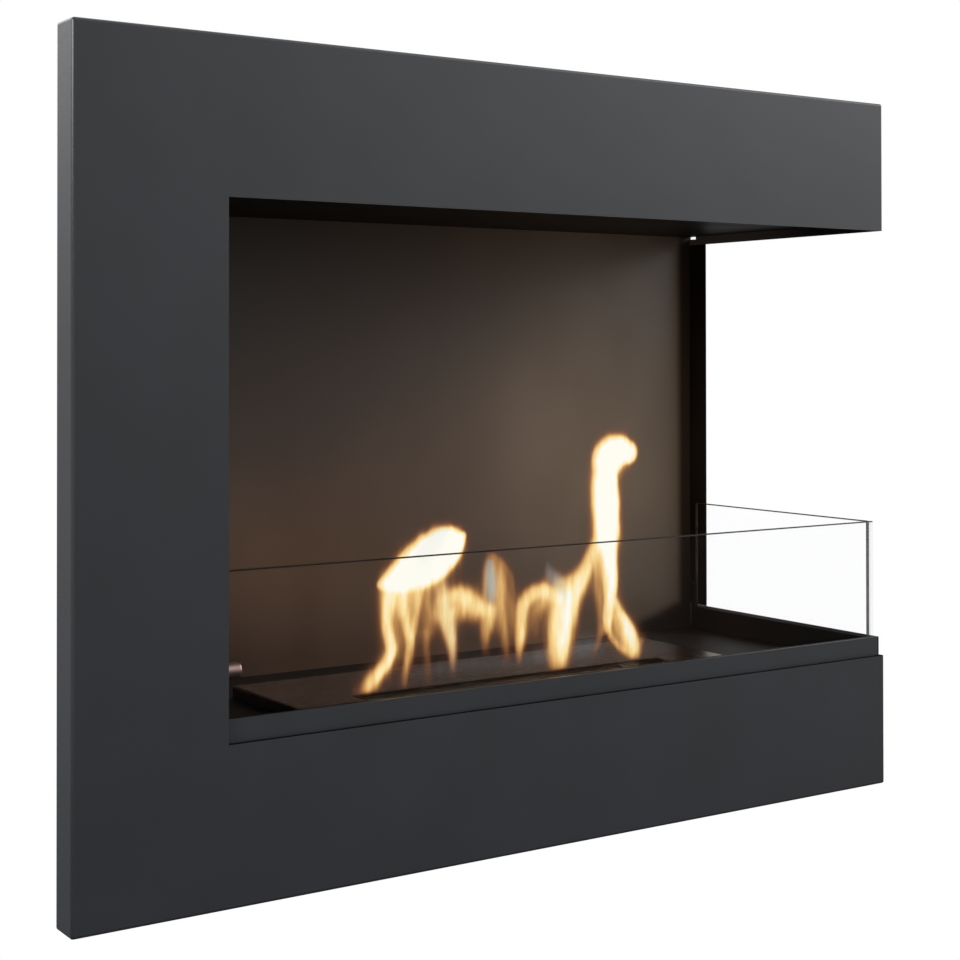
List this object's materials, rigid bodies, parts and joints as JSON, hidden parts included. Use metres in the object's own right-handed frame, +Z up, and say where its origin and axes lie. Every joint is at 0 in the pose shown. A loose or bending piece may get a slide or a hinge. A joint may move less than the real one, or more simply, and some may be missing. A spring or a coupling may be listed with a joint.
{
  "type": "bioethanol fireplace insert",
  "caption": "Corner bioethanol fireplace insert: graphite C-shaped fascia, firebox open at front and right, low glass guard, lift-out slot burner with sliding shutter.",
  "frame": {"origin": "on the back face of the casing, at the middle of the fascia's width and height", "axes": "+X to the right along the front (towards the open side), +Y into the wall, +Z up"},
  "size_m": [1, 0.36, 0.8],
  "materials": {
    "graphite_coat": "fine satin powder coat, dark graphite",
    "stove_enamel": "semi-gloss heat-resistant black paint",
    "galvanised_sheet": "galvanised sheet",
    "zinc_fasteners": "zinc plated",
    "burner_steel": "brushed stainless, heat-toned",
    "clamp_steel": "satin stainless",
    "toughened_glass": "clear, polished edges",
    "clear_silicone": "clear silicone bead",
    "black_rubber": "matte",
    "ceramic_fibre": "soft fibre block"
  },
  "bodies": {
    "casing": {"back_liner": "stove_enamel", "base_front_panel": "graphite_coat", "base_side_panel": "graphite_coat", "casing_back": "galvanised_sheet", "casing_bottom": "galvanised_sheet", "casing_left": "galvanised_sheet", "casing_top": "galvanised_sheet", "ceiling_hanger_left": "galvanised_sheet", "ceiling_hanger_right": "galvanised_sheet", "ceiling_panel": "stove_enamel", "clamp_fixing_screw": "zinc_fasteners", "clamp_grub_screw": "zinc_fasteners", "fascia_nut_1": "zinc_fasteners", "fascia_nut_2": "zinc_fasteners", "fascia_nut_3": "zinc_fasteners", "fascia_nut_4": "zinc_fasteners", "fascia_panel": "graphite_coat", "fascia_stud_1": "zinc_fasteners", "fascia_stud_2": "zinc_fasteners", "fascia_stud_3": "zinc_fasteners", "fascia_stud_4": "zinc_fasteners", "front_gasket": "black_rubber", "front_glass_bar": "stove_enamel", "glass_clamp": "clamp_steel", "header_front_panel": "galvanised_sheet", "header_side_panel": "graphite_coat", "hearth_bearer_left": "galvanised_sheet", "hearth_bearer_right": "galvanised_sheet", "hearth_floor": "stove_enamel", "joint_strip": "black_rubber", "left_liner": "stove_enamel", "liner_spacer_1": "galvanised_sheet", "liner_spacer_2": "galvanised_sheet", "liner_spacer_3": "galvanised_sheet", "liner_spacer_4": "galvanised_sheet", "post_rivet_1": "zinc_fasteners", "post_rivet_2": "zinc_fasteners", "post_rivet_3": "zinc_fasteners", "rear_right_post": "graphite_coat", "side_gasket": "black_rubber", "side_glass_bar": "stove_enamel", "side_glass_stop": "stove_enamel"},
    "burner_unit": {"burner_cover_plate": "burner_steel", "slot_trim": "burner_steel", "burner_tank": "burner_steel", "ceramic_wool": "ceramic_fibre", "shutter_guide_left": "burner_steel", "shutter_guide_right": "burner_steel"},
    "shutter": {"burner_shutter": "burner_steel"},
    "front_pane": {"front_glass": "toughened_glass"},
    "side_pane": {"side_glass": "toughened_glass", "corner_seal": "clear_silicone"}
  },
  "joints": [
    {"name": "burner_lift", "type": "slide", "parent": "casing", "child": "burner_unit", "axis": [0, 0, 1], "range_m": [0, 0.12]},
    {"name": "shutter_slide", "type": "slide", "parent": "burner_unit", "child": "shutter", "axis": [0, -1, 0], "range_m": [0, 0.034]},
    {"name": "front_glass_lift", "type": "slide", "parent": "casing", "child": "front_pane", "axis": [0, 0, 1], "range_m": [0, 0.2]},
    {"name": "side_glass_lift", "type": "slide", "parent": "casing", "child": "side_pane", "axis": [0, 0, 1], "range_m": [0, 0.2]}
  ]
}
